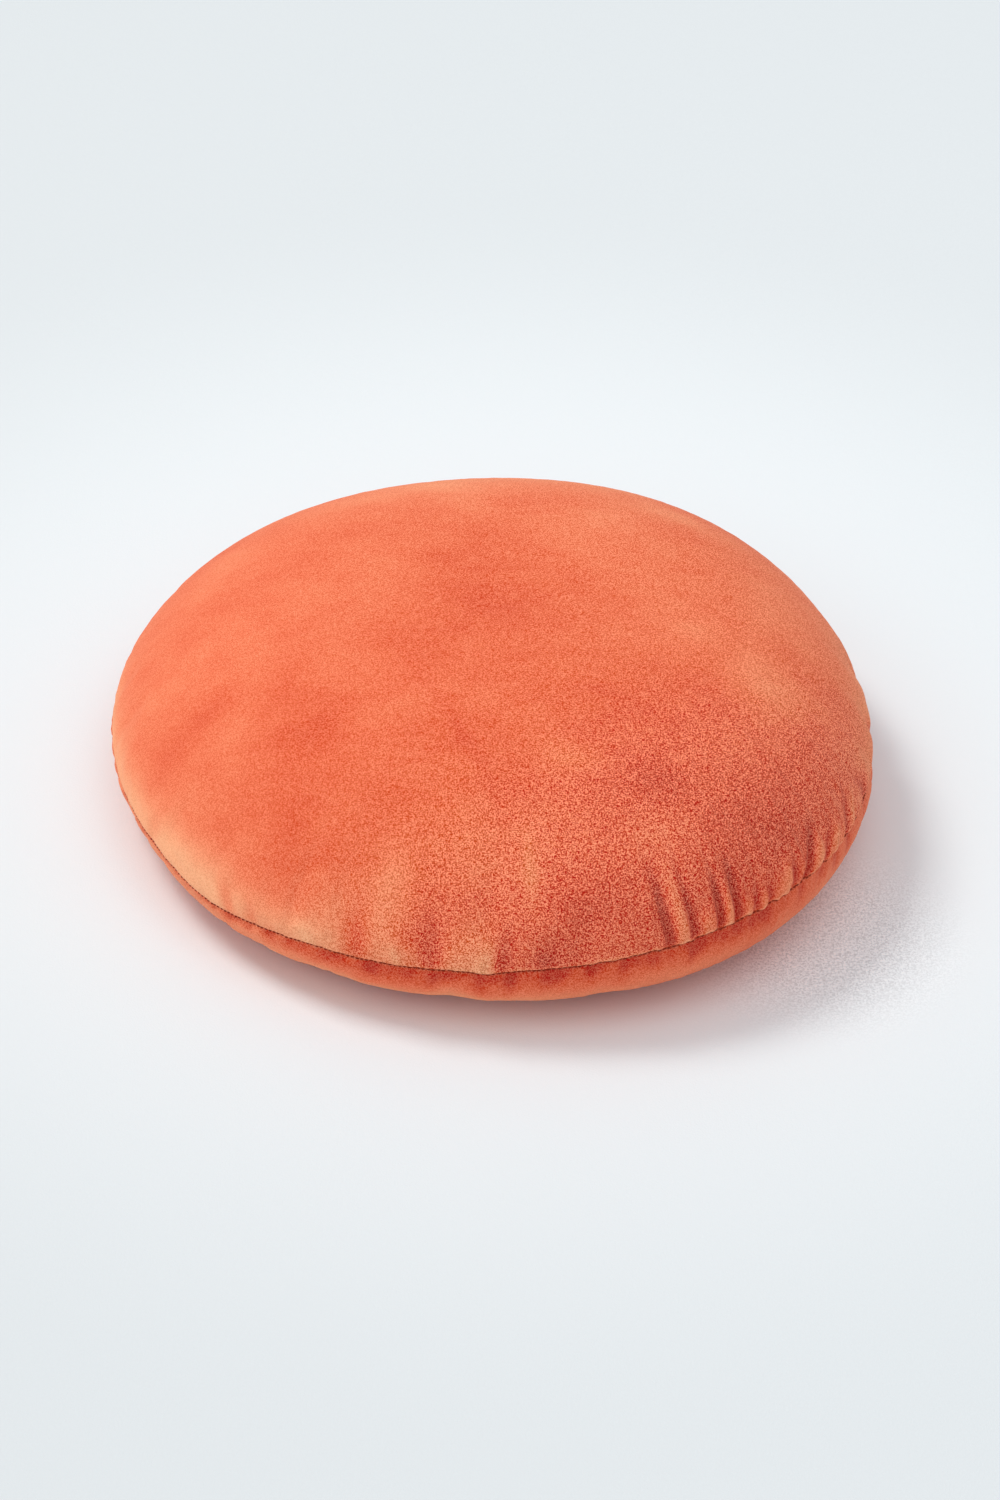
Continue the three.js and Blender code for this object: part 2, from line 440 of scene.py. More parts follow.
def dent_depth(x: np.ndarray, y: np.ndarray) -> np.ndarray:
    """Adds up the crown's dents, each depth * exp(-(distance / radius) ** 2).

    Args:
        x: Millimetres to the right.
        y: Millimetres to the back.

    Returns:
        How far the dents press the crown in.
    """
    depth = np.zeros_like(x)
    for dent in CROWN_DENTS:
        depth += dent.depth * bell(np.hypot(x - dent.x, y - dent.y), dent.radius)
    return depth


@dataclass(frozen=True)
class DiscGrid:
    """A square grid wrapped onto a disc, all of quads: each square round its middle becomes one ring."""

    rings: int
    crowd_share: float = 0.6
    crowd_at: float = 312.0
    rim_share: float = 0.62

    def rings_and_azimuths(self) -> tuple[np.ndarray, np.ndarray]:
        """Spaces each ring's points evenly, then draws them towards the closest folds by crowd_share * sin.

        Returns:
            The ring of each point as a share, 0 at the middle and 1 at the rim, and its azimuth in degrees.
        """
        line = np.arange(-self.rings, self.rings + 1)
        i, j = np.meshgrid(line, line, indexing="ij")
        wide = np.abs(i) >= np.abs(j)
        along_i = np.divide(j, i, out=np.zeros(i.shape), where=wide & (i != 0))
        along_j = np.divide(i, j, out=np.zeros(i.shape), where=~wide)
        turned_i = along_i * 45 + np.where(i < 0, 180, 0)
        turned_j = 90 - along_j * 45 + np.where(j < 0, 180, 0)
        turned = np.where(wide, turned_i, turned_j)
        share = np.maximum(np.abs(i), np.abs(j)) / self.rings
        pull = np.degrees(self.crowd_share) * share**2
        return share, turned - pull * np.sin(np.radians(turned - self.crowd_at))

    def runs(self, length: float) -> np.ndarray:
        """Returns distances from the seam: length * (w * t + (1 - w) * t ** 2), w being rim_share."""
        t = 1 - self.rings_and_azimuths()[0]
        return length * (self.rim_share * t + (1 - self.rim_share) * t**2)

    def quads(self, side: Side) -> np.ndarray:
        """Numbers the grid's points row by row and lists its quads.

        Args:
            side: The panel.

        Returns:
            Rows of four point numbers, facing out of the cushion on that side.
        """
        width = 2 * self.rings + 1
        corner = (np.arange(width - 1)[:, None] * width + np.arange(width - 1)[None, :]).ravel()
        order = [0, width, width + 1, 1] if side is Side.FRONT else [0, 1, width + 1, width]
        return corner[:, None] + np.array(order)[None, :]

    def rim(self) -> np.ndarray:
        """Returns a mask of the points on the rim."""
        return self.rings_and_azimuths()[0] >= 1


@dataclass
class Panel:
    """A panel on a grid, in degrees and millimetres, as worked out by DiscGrid and CoverShape."""

    side: Side
    azimuth: np.ndarray
    run: np.ndarray
    points: np.ndarray
    outward: np.ndarray
    folded: np.ndarray


def doubled(values: np.ndarray) -> np.ndarray:
    """Doubles a grid's resolution: a new point is 9/16 of its two neighbours less 1/16 of the next two.

    Args:
        values: An array whose first two axes are the grid's.

    Returns:
        The array with 2 n - 1 values for n along each of those axes.
    """
    for axis in (0, 1):
        moved = np.moveaxis(values, axis, 0)
        padded = np.concatenate([moved[:1], moved, moved[-1:]])
        between = (9 * (moved[:-1] + moved[1:]) - padded[:-3] - padded[3:]) / 16
        mixed = np.empty((2 * len(moved) - 1, *moved.shape[1:]))
        mixed[0::2], mixed[1::2] = moved, between
        values = np.moveaxis(mixed, 0, axis)
    return values


def blurred(values: np.ndarray, reach: int) -> np.ndarray:
    """Softens a grid of values with two passes of a running mean along each axis.

    Args:
        values: A grid.
        reach: Points on each side that the mean takes in.

    Returns:
        The softened grid.
    """
    span = 2 * reach + 1
    for _ in range(2):
        for axis in (0, 1):
            moved = np.moveaxis(values, axis, 0)
            padded = np.concatenate([moved[:1]] * reach + [moved] + [moved[-1:]] * reach)
            total = np.cumsum(np.concatenate([np.zeros_like(moved[:1]), padded]), axis=0)
            values = np.moveaxis((total[span:] - total[:-span]) / span, 0, axis)
    return values


# Meshes


def mesh_object(name: str, points: np.ndarray, faces: np.ndarray) -> bpy.types.Object:
    """Makes a smooth-shaded mesh object at the origin.

    Args:
        name: The object's name.
        points: Rows of three, in metres.
        faces: Rows of point numbers, all of one length.

    Returns:
        The linked object.
    """
    mesh = bpy.data.meshes.new(name)
    corners = faces.shape[1]
    mesh.vertices.add(len(points))
    mesh.vertices.foreach_set("co", points.astype(np.float32).ravel())
    mesh.loops.add(faces.size)
    mesh.loops.foreach_set("vertex_index", faces.astype(np.int32).ravel())
    mesh.polygons.add(len(faces))
    mesh.polygons.foreach_set("loop_start", np.arange(0, faces.size, corners, dtype=np.int32))
    mesh.polygons.foreach_set("use_smooth", np.ones(len(faces), dtype=bool))
    mesh.update(calc_edges=True)
    mesh.validate()
    made = bpy.data.objects.new(name, mesh)
    bpy.context.scene.collection.objects.link(made)
    return made


def paint_attribute(made: bpy.types.Object, name: str, values: np.ndarray) -> None:
    """Stores a value for each point of a mesh, for its material to read.

    Args:
        made: The mesh object.
        name: The attribute's name.
        values: One number for each point.
    """
    attribute = made.data.attributes.new(name, "FLOAT", "POINT")
    attribute.data.foreach_set("value", values.astype(np.float32).ravel())


@dataclass(frozen=True)
class ClothFill:
    """Blows the cover up against its sewn seam, so that cloth a little too large for its place wrinkles.

    It is held at the rim, in the middle of each panel and on the flat spot, all as shares of the rings.
    """

    frames: int = 20
    quality: int = 6
    pressure: float = 4.0
    slack: float = 0.02
    mass: float = 0.05
    stiffness: float = 12.0
    shear_share: float = 0.5
    bending: float = 0.4
    rim_from: float = 0.96
    rim_ease: float = 0.04
    middle_to: float = 0.35
    middle_ease: float = 0.2
    rest_to: float = 0.6

    def hold(self, side: Side, share: np.ndarray) -> np.ndarray:
        """Takes the larger of a ramp up to the rim and a ramp down from the middle, and 1 on the flat spot.

        Args:
            side: The panel.
            share: The ring of each point as a share, 0 at the middle and 1 at the rim.

        Returns:
            How firmly each point is held, from 0 to 1.
        """
        rim = np.clip((share - self.rim_from) / self.rim_ease, 0, 1)
        middle = np.clip((self.middle_to - share) / self.middle_ease, 0, 1)
        firm = np.maximum(rim, middle)
        return firm if side is Side.FRONT else np.where(share < self.rest_to, 1.0, firm)

    def blow_up(self, points: np.ndarray, faces: np.ndarray, held: np.ndarray) -> np.ndarray:
        """Runs the simulation on a copy of the cover, which is removed again.

        Args:
            points: Rows of three, in metres.
            faces: Quads.
            held: How firmly each point is held, from 0 to 1.

        Returns:
            The points at the last frame.
        """
        trial = mesh_object("trial_cover", points, faces)
        group = trial.vertex_groups.new(name="held")
        for level in np.unique(np.round(held, 2)):
            group.add(np.flatnonzero(np.round(held, 2) == level).tolist(), float(level), "REPLACE")
        cloth = trial.modifiers.new("cloth", "CLOTH")
        settings = cloth.settings
        settings.quality = self.quality
        settings.mass = self.mass
        settings.tension_stiffness = self.stiffness
        settings.compression_stiffness = self.stiffness
        settings.shear_stiffness = self.stiffness * self.shear_share
        settings.bending_stiffness = self.bending
        settings.use_pressure = True
        settings.uniform_pressure_force = self.pressure
        settings.shrink_min = -self.slack
        settings.shrink_max = -self.slack
        settings.vertex_group_mass = group.name
        settings.effector_weights.gravity = 0
        cloth.collision_settings.use_collision = False
        cloth.point_cache.frame_start = 1
        cloth.point_cache.frame_end = self.frames
        for frame in range(1, self.frames + 1):
            bpy.context.scene.frame_set(frame)
        moved = trial.evaluated_get(bpy.context.evaluated_depsgraph_get())
        blown = np.empty(len(points) * 3, dtype=np.float32)
        moved.data.vertices.foreach_get("co", blown)
        bpy.context.scene.frame_set(1)
        mesh = trial.data
        bpy.data.objects.remove(trial)
        bpy.data.meshes.remove(mesh)
        return blown.reshape(-1, 3).astype(float)


# Shader helpers


def add_node(tree: Tree, kind: str, settings: dict[str, Any] | None = None, **inputs: Any) -> Any:
    """Adds a node. An input given a socket is joined to it, and any other value is set on it.

    Args:
        tree: The node tree.
        kind: The node's type name, such as ShaderNodeMix.
        settings: The node's own properties.
        inputs: Input names in lower case with _ for a space. A name that no input has, and that ends in a
            number, picks the input by its place.

    Returns:
        The node.
    """
    node = tree.nodes.new(kind)
    for name, value in (settings or {}).items():
        setattr(node, name, value)
    for name, value in inputs.items():
        sockets = [s for s in node.inputs if s.enabled and s.name.lower().replace(" ", "_") == name]
        socket = sockets[0] if sockets else node.inputs[int(name.rsplit("_", 1)[1])]
        if isinstance(value, bpy.types.NodeSocket):
            tree.links.new(value, socket)
        else:
            socket.default_value = value
    return node


def math_node(tree: Tree, operation: str, *values: Any, clamp: bool = False) -> Any:
    """Adds a Math node.

    Args:
        tree: The node tree.
        operation: The node's operation, such as MULTIPLY_ADD.
        values: Its numbers or sockets, in order.
        clamp: Whether the result is kept from 0 to 1.

    Returns:
        The result's socket.
    """
    settings = {"operation": operation, "use_clamp": clamp}
    inputs = {f"value_{place}": value for place, value in enumerate(values)}
    return add_node(tree, "ShaderNodeMath", settings, **inputs).outputs[0]


def noise_node(tree: Tree, vector: Any, pitch: Any, **inputs: Any) -> Any:
    """Adds a noise of that many cells to the metre and returns its value's socket."""
    return add_node(tree, "ShaderNodeTexNoise", vector=vector, scale=pitch, **inputs).outputs[0]


def blend(tree: Tree, first: Any, second: Any, share: float) -> Any:
    """Returns the socket of (1 - share) * first + share * second."""
    return math_node(tree, "MULTIPLY_ADD", second, share, math_node(tree, "MULTIPLY", first, 1 - share))


def mapped(
    tree: Tree, value: Any, source: tuple[Any, Any], result: tuple[float, float], way: str = "SMOOTHSTEP"
) -> Any:
    """Maps a value from one range to another.

    Args:
        tree: The node tree.
        value: The value's socket.
        source: Where the value starts and ends, which may be sockets.
        result: What it becomes there.
        way: SMOOTHSTEP for an S curve or LINEAR for a straight line.

    Returns:
        The result's socket.
    """
    ends = {"from_min": source[0], "from_max": source[1], "to_min": result[0], "to_max": result[1]}
    return add_node(tree, "ShaderNodeMapRange", {"interpolation_type": way}, value=value, **ends).outputs[0]


@dataclass(frozen=True)
class Wiring:
    """A shader node group being built: its tree and the sockets of its inputs and outputs by name."""

    tree: Tree
    inputs: Any
    outputs: Any


def new_group(name: str, inputs: dict[str, Any], outputs: list[str]) -> Wiring:
    """Makes an empty shader node group.

    Args:
        name: The group's name.
        inputs: Names and default values of the inputs. A default of None makes a vector input.
        outputs: Names of the number outputs.

    Returns:
        The group's wiring.
    """
    tree = bpy.data.node_groups.new(name, "ShaderNodeTree")
    for title, default in inputs.items():
        kind = "NodeSocketVector" if default is None else "NodeSocketFloat"
        socket = tree.interface.new_socket(title, in_out="INPUT", socket_type=kind)
        if default is not None:
            socket.default_value = default
    for title in outputs:
        tree.interface.new_socket(title, in_out="OUTPUT", socket_type="NodeSocketFloat")
    entry, leave = tree.nodes.new("NodeGroupInput"), tree.nodes.new("NodeGroupOutput")
    return Wiring(tree, entry.outputs, leave.inputs)


@dataclass(frozen=True)
class PileGrain:
    """The grain of short pile: bent tufts with dark gaps between them, and finer tips on them."""

    tips_per_tuft: float = 2.3
    tip_share: float = 0.22
    bend: float = 0.9

    def group(self) -> Tree:
        """Builds the shader node group, a mix of a coarse noise and a fine one.

        Returns:
            A group with inputs Vector, Tuft Size in metres and Crispness. Its outputs Height and Shade are
            0 to 1.
        """
        made = new_group(
            "Pile Grain", {"Vector": None, "Tuft Size": 0.0012, "Crispness": 0.3}, ["Height", "Shade"]
        )
        tree, vector = made.tree, made.inputs["Vector"]
        pitch = math_node(tree, "DIVIDE", 1.0, made.inputs["Tuft Size"])
        fine_pitch = math_node(tree, "MULTIPLY", pitch, self.tips_per_tuft)
        tufts = noise_node(tree, vector, pitch, detail=0.0, distortion=self.bend)
        tips = noise_node(tree, vector, fine_pitch, detail=0.0)
        mixed = blend(tree, tufts, tips, self.tip_share)
        low = made.inputs["Crispness"]
        high = math_node(tree, "SUBTRACT", 1.0, low)
        tree.links.new(mixed, made.outputs["Height"])
        tree.links.new(mapped(tree, mixed, (low, high), (0.0, 1.0)), made.outputs["Shade"])
        return tree


@dataclass(frozen=True)
class NapDrift:
    """The slow drift of the pile's lay: broad soft patches with smaller streaks in them, brushed one way."""

    patch_bend: float = 0.4
    streak_turn: float = 24.0
    streak_squash: float = 0.55
    streak_bend: float = 0.3
    streak_roughness: float = 0.6
    streak_share: float = 0.4

    def group(self) -> Tree:
        """Builds the shader node group, a mix of a broad noise and a turned and drawn-out one.

        Returns:
            A group with inputs Vector, Patch Size and Streak Size in metres, and the output Tone, which is
            0 to 1 about 0.5.
        """
        made = new_group("Nap Drift", {"Vector": None, "Patch Size": 0.07, "Streak Size": 0.016}, ["Tone"])
        tree, vector = made.tree, made.inputs["Vector"]
        turn, squash = (0.0, 0.0, math.radians(self.streak_turn)), (self.streak_squash, 1.0, 1.0)
        brushed = add_node(tree, "ShaderNodeMapping", vector=vector, rotation=turn, scale=squash).outputs[0]
        patch_pitch = math_node(tree, "DIVIDE", 1.0, made.inputs["Patch Size"])
        streak_pitch = math_node(tree, "DIVIDE", 1.0, made.inputs["Streak Size"])
        patches = noise_node(tree, vector, patch_pitch, detail=1.0, distortion=self.patch_bend)
        streaks = noise_node(
            tree,
            brushed,
            streak_pitch,
            detail=2.0,
            roughness=self.streak_roughness,
            distortion=self.streak_bend,
        )
        tree.links.new(blend(tree, patches, streaks, self.streak_share), made.outputs["Tone"])
        return tree


def place_group(tree: Tree, group: Tree, **inputs: Any) -> Any:
    """Places a node group in a material and sets or joins its inputs, as add_node does."""
    return add_node(tree, "ShaderNodeGroup", {"node_tree": group}, **inputs)


@dataclass
class Surface:
    """A material being built, with its Principled shader and the socket of its Object coordinates."""

    name: str
    material: bpy.types.Material = field(init=False)
    tree: Tree = field(init=False)
    shader: Any = field(init=False)
    place: Any = field(init=False)

    def __post_init__(self) -> None:
        """Makes the material with nothing but its shader, its output and its coordinates."""
        self.material = bpy.data.materials.new(self.name)
        self.material.use_nodes = True
        self.tree = self.material.node_tree
        self.tree.nodes.clear()
        self.shader = self.tree.nodes.new("ShaderNodeBsdfPrincipled")
        output = self.tree.nodes.new("ShaderNodeOutputMaterial")
        self.tree.links.new(self.shader.outputs[0], output.inputs["Surface"])
        self.place = self.tree.nodes.new("ShaderNodeTexCoord").outputs["Object"]

    def join(self, name: str, socket: Any) -> None:
        """Joins a socket to one of the shader's inputs."""
        self.tree.links.new(socket, self.shader.inputs[name])

    def fix(self, name: str, value: Any) -> None:
        """Sets one of the shader's inputs to a value that is the same all over."""
        self.shader.inputs[name].default_value = value

    def roughen(self, height: Any, strength: float, depth: float) -> None:
        """Bumps the surface by a height's socket, to a depth in metres."""
        bump = add_node(self.tree, "ShaderNodeBump", strength=strength, distance=depth, height=height)
        self.join("Normal", bump.outputs[0])


def tone_ramp(tree: Tree, tone: Any, colours: list[tuple[float, Colour]]) -> Any:
    """Adds a colour ramp.

    Args:
        tree: The node tree.
        tone: The socket that picks the colour.
        colours: Places from 0 to 1 and their linear colours.

    Returns:
        The colour socket.
    """
    ramp = add_node(tree, "ShaderNodeValToRGB", fac=tone)
    ramp.color_ramp.interpolation = "B_SPLINE"
    points = ramp.color_ramp.elements
    while len(points) < len(colours):
        points.new(0.5)
    for point, (place, colour) in zip(points, colours):
        point.position = place
        point.color = (*colour, 1.0)
    return ramp.outputs[0]


# Finishes


@dataclass(frozen=True)
class VelvetFinish:
    """Short coral velvet, deeper where the pile faces away, paler where it lies down, with painted highlights
    and shade, and a sheen.

    Sizes are in metres. The roughness is that of the gaps in the pile, then that of its tips.
    """

    deep: Colour = (0.52, 0.032, 0.014)
    middle: Colour = (0.95, 0.160, 0.064)
    lit: Colour = (1.0, 0.500, 0.265)
    # The seam's dark line: a dark joint with painted shade in its groove.
    seam: Colour = (0.30, 0.012, 0.004)
    sheen: Colour = (1.0, 0.55, 0.34)
    sheen_weight: float = 0.28
    sheen_roughness: float = 0.42
    tuft_size: float = 0.00060
    crispness: float = 0.38
    grain_height: float = 0.00025
    tip_glow: Colour = (0.48, 0.32, 0.210)
    ruffled_shade: float = 0.05
    patch_size: float = 0.075
    streak_size: float = 0.018
    drift_contrast: float = 0.55
    roughness: tuple[float, float] = (0.95, 0.82)
    specular: float = 0.2

    def material(self, grain: Tree, drift: Tree) -> bpy.types.Material:
        """Builds the material, which reads the cover's attributes: its tone with painted highlights and
        painted shade, its grain and its seam.

        Args:
            grain: The pile grain group.
            drift: The nap drift group.

        Returns:
            The material.
        """
        surface = Surface("coral_velvet")
        tree, place = surface.tree, surface.place
        # The first attribute is the pile's tone, with painted highlights and painted shade in it.
        nap, strength, seam = (
            add_node(tree, "ShaderNodeAttribute", {"attribute_name": name}).outputs["Fac"]
            for name in ("nap", "grain", "seam")
        )
        tufts = place_group(tree, grain, vector=place, tuft_size=self.tuft_size, crispness=self.crispness)
        sizes = {"patch_size": self.patch_size, "streak_size": self.streak_size}
        slow = place_group(tree, drift, vector=place, **sizes)

        centred = math_node(tree, "SUBTRACT", tufts.outputs["Shade"], 0.5)
        grained = math_node(tree, "MULTIPLY", centred, strength)
        swing = math_node(tree, "SUBTRACT", slow.outputs["Tone"], 0.5)
        brushed = math_node(tree, "MULTIPLY_ADD", swing, self.drift_contrast, nap)
        tone = math_node(tree, "MULTIPLY_ADD", strength, -self.ruffled_shade, brushed, clamp=True)
        colour = tone_ramp(tree, tone, [(0.0, self.deep), (0.5, self.middle), (1.0, self.lit)])
        tipped = add_node(
            tree,
            "ShaderNodeVectorMath",
            {"operation": "MULTIPLY_ADD"},
            vector_0=grained,
            vector_1=self.tip_glow,
            vector_2=colour,
        )
        # Mixes in the seam's dark line, a dark joint with painted shade in its groove.
        stitched = add_node(
            tree,
            "ShaderNodeMix",
            {"data_type": "RGBA"},
            factor=seam,
            colour_6=tipped.outputs[0],
            colour_7=(*self.seam, 1.0),
        )
        surface.join("Base Color", stitched.outputs[2])
        rough = mapped(tree, tufts.outputs["Shade"], (0.0, 1.0), self.roughness, "LINEAR")
        surface.join("Roughness", rough)
        height = math_node(tree, "MULTIPLY", tufts.outputs["Height"], strength)
        surface.roughen(height, 1.0, self.grain_height)
        surface.fix("Specular IOR Level", self.specular)
        surface.fix("Sheen Weight", self.sheen_weight)
        surface.fix("Sheen Roughness", self.sheen_roughness)
        surface.fix("Sheen Tint", (*self.sheen, 1.0))
        return surface.material


@dataclass(frozen=True)
class ThreadFinish:
    """Sewing thread, a deeper coral than the cloth, with a fine twist. Sizes are in metres."""

    dark: Colour = (0.20, 0.014, 0.005)
    light: Colour = (0.38, 0.046, 0.018)
    twist_size: float = 0.0004
    crispness: float = 0.3
    twist_height: float = 0.0002
    bump: float = 0.5
    roughness: tuple[float, float] = (0.8, 0.55)
    specular: float = 0.08

    def material(self, grain: Tree) -> bpy.types.Material:
        """Builds the material, with the grain group at the scale of the thread's twist.

        Args:
            grain: The pile grain group.

        Returns:
            The material.
        """
        surface = Surface("seam_thread")
        tree, place = surface.tree, surface.place
        twist = place_group(tree, grain, vector=place, tuft_size=self.twist_size, crispness=self.crispness)
        shade = twist.outputs["Shade"]
        surface.join("Base Color", tone_ramp(tree, shade, [(0.0, self.dark), (1.0, self.light)]))
        surface.join("Roughness", mapped(tree, shade, (0.0, 1.0), self.roughness, "LINEAR"))
        surface.roughen(twist.outputs["Height"], self.bump, self.twist_height)
        surface.fix("Specular IOR Level", self.specular)
        return surface.material


@dataclass(frozen=True)
class FloorFinish:
    """A pale matt studio floor with painted light, paler round the cushion, and a faint tooth that shows only
    in its shadow.

    The colour is multiplied by a tone of painted light. It eases from its first value to its second over the
    glow's reach from glow_at, and rises to the right by a gain for each metre. Places and sizes are in
    metres.
    """

    colour: Colour = (0.82, 0.855, 0.87)
    # Painted light: a pool of light round the cushion and a rise to the right.
    glow_at: Place = (0.02, 0.08, 0.0)
    glow_reach: tuple[float, float] = (0.20, 0.56)
    glow_tones: tuple[float, float] = (1.055, 0.94)
    rightward_painted_light: float = 0.13
    tooth: float = 0.40
    tooth_size: float = 0.0011
    tooth_height: float = 0.0003
    crispness: float = 0.3
    bump: float = 0.25
    shadow_at: Place = (0.167, -0.112, 0.0)
    shadow_reach: tuple[float, float] = (0.023, 0.092)
    roughness: float = 0.9
    specular: float = 0.2

    def material(self, grain: Tree) -> bpy.types.Material:
        """Builds the material, with the grain group at the scale of the floor's tooth.

        Args:
            grain: The pile grain group.

        Returns:
            The material.
        """
        surface = Surface("studio_floor")
        tree, place = surface.tree, surface.place
        tooth = place_group(tree, grain, vector=place, tuft_size=self.tooth_size, crispness=self.crispness)
        apart = {"operation": "DISTANCE"}
        from_shadow, from_glow = (
            add_node(tree, "ShaderNodeVectorMath", apart, vector_0=place, vector_1=centre)
            for centre in (self.shadow_at, self.glow_at)
        )
        near = mapped(tree, from_shadow.outputs["Value"], self.shadow_reach, (1.0, 0.0))
        # Painted light: paler round the cushion, rising to the right.
        glow = mapped(tree, from_glow.outputs["Value"], self.glow_reach, self.glow_tones)
        rightward = add_node(tree, "ShaderNodeSeparateXYZ", vector=place).outputs["X"]
        level = math_node(tree, "MULTIPLY_ADD", rightward, self.rightward_painted_light, glow)
        centred = math_node(tree, "SUBTRACT", tooth.outputs["Shade"], 0.5)
        swing = math_node(tree, "MULTIPLY", math_node(tree, "MULTIPLY", centred, near), self.tooth)
        shade = math_node(tree, "ADD", swing, level)
        scale = {"operation": "SCALE"}
        colour = add_node(tree, "ShaderNodeVectorMath", scale, vector_0=self.colour, scale=shade)
        surface.join("Base Color", colour.outputs[0])
        surface.roughen(tooth.outputs["Height"], self.bump, self.tooth_height)
        surface.fix("Roughness", self.roughness)
        surface.fix("Specular IOR Level", self.specular)
        return surface.material


# Pieces


@dataclass(frozen=True)
class NapPatch:
    """A patch that makes the tone paler, or deeper where tone is negative.

    It is a bell curve over an ellipse seen from above, in millimetres, turned by an angle in degrees.
    """

    x: float
    y: float
    long: float
    short: float
    angle: float
    tone: float

    def over(self, x: np.ndarray, y: np.ndarray) -> np.ndarray:
        """Works out tone * exp(-(along / long) ** 2 - (across / short) ** 2).

        Args:
            x: Millimetres to the right.
            y: Millimetres to the back.

        Returns:
            How much paler the tone is.
        """
        cos, sin = math.cos(math.radians(self.angle)), math.sin(math.radians(self.angle))
        along = (x - self.x) * cos + (y - self.y) * sin
        across = (y - self.y) * cos - (x - self.x) * sin
        return self.tone * np.exp(-((along / self.long) ** 2) - (across / self.short) ** 2)


@dataclass(frozen=True)
class NapBand:
    """A band along the seam that makes the tone paler, or deeper where tone is negative, in degrees and
    millimetres.
    """

    at: float
    width: float
    start: float
    reach: float
    tone: float

    def over(self, azimuth: np.ndarray, run: np.ndarray) -> np.ndarray:
        """Returns tone * exp(-(turned / width) ** 2 - ((run - start) / reach) ** 2) at some places."""
        turned = turn_between(self.at, azimuth) / self.width
        return self.tone * np.exp(-(turned**2) - ((run - self.start) / self.reach) ** 2)


# Brushed patches of the front panel, where the pile lies down one way or the other. Some are painted: shade
# where the crown turns down at the front right, and highlights towards the back rim and the right side.
NAP_AND_PAINTED_LIGHT_PATCHES = [
    NapPatch(-104, -116, 40, 28, 75, -0.18),
    NapPatch(-150, -62, 22, 12, 40, -0.14),
    NapPatch(-35, -12, 85, 48, -30, -0.07),
    NapPatch(-10, -6, 74, 24, 3, -0.03),
    NapPatch(-78, 30, 30, 24, 0, 0.09),
    NapPatch(0, -116, 58, 32, 0, -0.10),
    NapPatch(110, 24, 62, 52, -35, 0.09),
    NapPatch(-68, -176, 20, 16, 0, 0.10),
    NapPatch(-20, -95, 50, 4, -62, -0.06),
    NapPatch(-50, -178, 24, 10, 85, 0.15),
    NapPatch(-8, -194, 12, 9, 0, 0.14),
    NapPatch(19, -170, 15, 4, 100, 0.17),
    NapPatch(-14, -158, 34, 18, 10, 0.08),
    NapPatch(45, -186, 30, 14, 15, -0.18),
    NapPatch(82, -148, 26, 15, 8, 0.18),
    NapPatch(130, -126, 44, 24, 40, -0.17),
    NapPatch(80, -123, 14, 10, 0, -0.12),
    NapPatch(41, -115, 16, 8, 0, 0.13),
    NapPatch(100, -14, 12, 8, 0, 0.07),
    NapPatch(116, -30, 26, 17, -30, 0.07),
    NapPatch(142, -40, 20, 24, -30, 0.09),
    NapPatch(0, 150, 150, 34, 0, 0.14),
    NapPatch(-60, 120, 40, 16, 20, 0.10),
    NapPatch(95, 108, 44, 14, -35, 0.12),
]

# Bands along the seam: front panel, then back panel. The front panel's are painted highlights on the left and
# right rims and along the seam's upper edge, with painted shade at the front right and some brushed pile; the
# back panel's are painted shade under the seam and painted light from the floor towards its lower edge.
FRONT_NAP_AND_PAINTED_LIGHT_BANDS = [
    NapBand(180, 26, 0, 12, 0.36),
    NapBand(218, 20, 0, 18, 0.66),
    NapBand(243, 6, 4, 12, 0.26),
    NapBand(262, 12, 3, 9, 0.16),
    NapBand(300, 36, 1.6, 1.3, 0.32),
    NapBand(307, 24, 16, 46, -0.07),
    NapBand(312, 12, 4, 8, 0.10),
    NapBand(2, 28, 8, 24, 0.20),
]
# Painted shade under the seam, and painted light from the floor towards the back panel's lower edge.
BACK_PAINTED_SHADE_AND_BOUNCE_BANDS = [
    NapBand(290, 44, 3, 8, -0.22),
    NapBand(215, 26, 8, 20, 0.24),
    NapBand(258, 30, 27, 9, 0.30),
]


@dataclass(frozen=True)
class GrainSpread:
    """How strongly the pile's grain shows over the front panel, in millimetres and degrees.

    It rises in an S curve to the right, and in a steeper one towards the front right, where the pile is
    ruffled. It is weaker where the closest gathers stretch the cloth.
    """

    least: float = 0.12
    rightward: float = 0.66
    rightward_from: float = -100.0
    rightward_ease: float = 90.0
    ruffled: float = 0.56
    ruffled_slant: float = 0.6
    ruffled_from: float = 136.0
    ruffled_ease: float = 15.0
    stretched: NapBand = NapBand(314, 18, 0, 16, 0.6)

    def over(self, panel: Panel) -> np.ndarray:
        """Adds the two S curves to the least strength, times one less the stretched band.

        Args:
            panel: The front panel.

        Returns:
            How strongly the grain shows at each point.
        """
        x, y = panel.points[..., 0], panel.points[..., 1]
        rightward = 1 / (1 + np.exp(-(x - self.rightward_from) / self.rightward_ease))
        ruffled = 1 / (1 + np.exp(-(self.ruffled_slant * x - y - self.ruffled_from) / self.ruffled_ease))
        strength = self.least + self.rightward * rightward + self.ruffled * ruffled
        return strength * (1 - self.stretched.over(panel.azimuth, panel.run))


